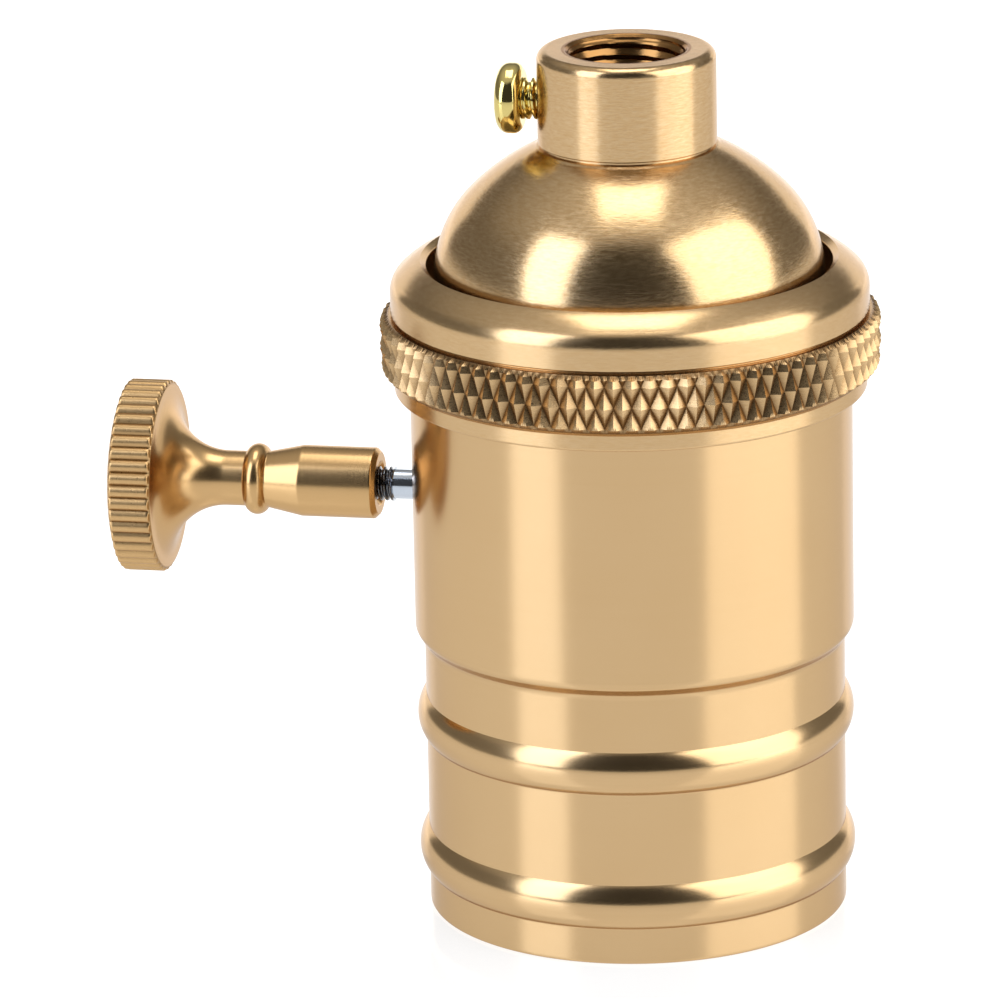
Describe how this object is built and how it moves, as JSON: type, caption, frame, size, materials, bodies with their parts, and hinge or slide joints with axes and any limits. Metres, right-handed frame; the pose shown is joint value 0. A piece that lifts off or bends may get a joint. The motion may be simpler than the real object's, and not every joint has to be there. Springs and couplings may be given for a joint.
{
  "type": "lamp holder",
  "caption": "Metal screw-base lamp holder with a domed cap, threaded cord neck and grip screw, a knurled lock ring and a rotary side switch with a knurled knob.",
  "frame": {"origin": "on the lamp axis, in the plane of the shell's bottom rim", "axes": "+Z along the lamp axis from the lamp's mouth up to the cord entry; the switch knob stands out along -X; +Y across both"},
  "size_m": [0.0665, 0.043, 0.076],
  "materials": {
    "shell_gold": "satin champagne-gold anodised",
    "cap_gold": "satin champagne-gold anodised, turned",
    "ring_gold": "satin champagne-gold anodised, knurled band",
    "knob_gold": "satin champagne-gold anodised, knurled rim",
    "porcelain": "glazed white porcelain, opaque",
    "contact_brass": "bare brass",
    "spring_bronze": "bare spring bronze",
    "moulded_black": "moulded thermoset",
    "screw_steel": "zinc-plated",
    "spring_steel": "bare spring steel",
    "spindle_steel": "bright drawn steel",
    "fibre_liner": "pressed fibre paper",
    "grip_brass": "polished brass"
  },
  "bodies": {
    "shell_body": {"outer_shell": "shell_gold", "porcelain_core": "porcelain", "screw_shell": "contact_brass", "centre_contact": "spring_bronze", "contact_rivet": "contact_brass", "core_clip": "spring_steel", "switch_block": "moulded_black", "terminal_deck": "moulded_black", "lamp_contact": "spring_bronze", "feed_contact": "spring_bronze", "neutral_strap": "contact_brass", "live_terminal": "contact_brass", "neutral_terminal": "contact_brass", "terminal_screws": "screw_steel", "deck_screws": "screw_steel", "deck_nuts": "screw_steel", "detent_spring": "spring_steel"},
    "switch_rotor": {"spindle": "spindle_steel", "detent_cam": "moulded_black", "contact_bridge": "contact_brass", "spindle_collar": "spring_steel", "knob": "knob_gold"},
    "cap_body": {"cap": "cap_gold", "cap_liner": "fibre_liner"},
    "ring_body": {"lock_ring": "ring_gold"},
    "grip_body": {"grip_screw": "grip_brass"}
  },
  "joints": [
    {"name": "knob_turn", "type": "hinge", "parent": "shell_body", "child": "switch_rotor", "pos_m": [0, 0, 0.0366], "axis": [-1, 0, 0], "continuous": true, "deforming": ["detent_spring"]},
    {"name": "cap_lift", "type": "slide", "parent": "shell_body", "child": "cap_body", "axis": [0, 0, 1], "range_m": [0, 0.00451]},
    {"name": "ring_turn", "type": "hinge", "parent": "cap_body", "child": "ring_body", "pos_m": [0, 0, 0.05], "axis": [0, 0, 1], "range_deg": [0, 1080]},
    {"name": "grip_screw_slide", "type": "slide", "parent": "cap_body", "child": "grip_body", "axis": [-1, 0, 0], "range_m": [-0.0011, 0.0022]}
  ],
  "couplings": [
    {"joint": "cap_lift", "follows": "ring_turn", "m_per_rad": 0.00023873}
  ]
}
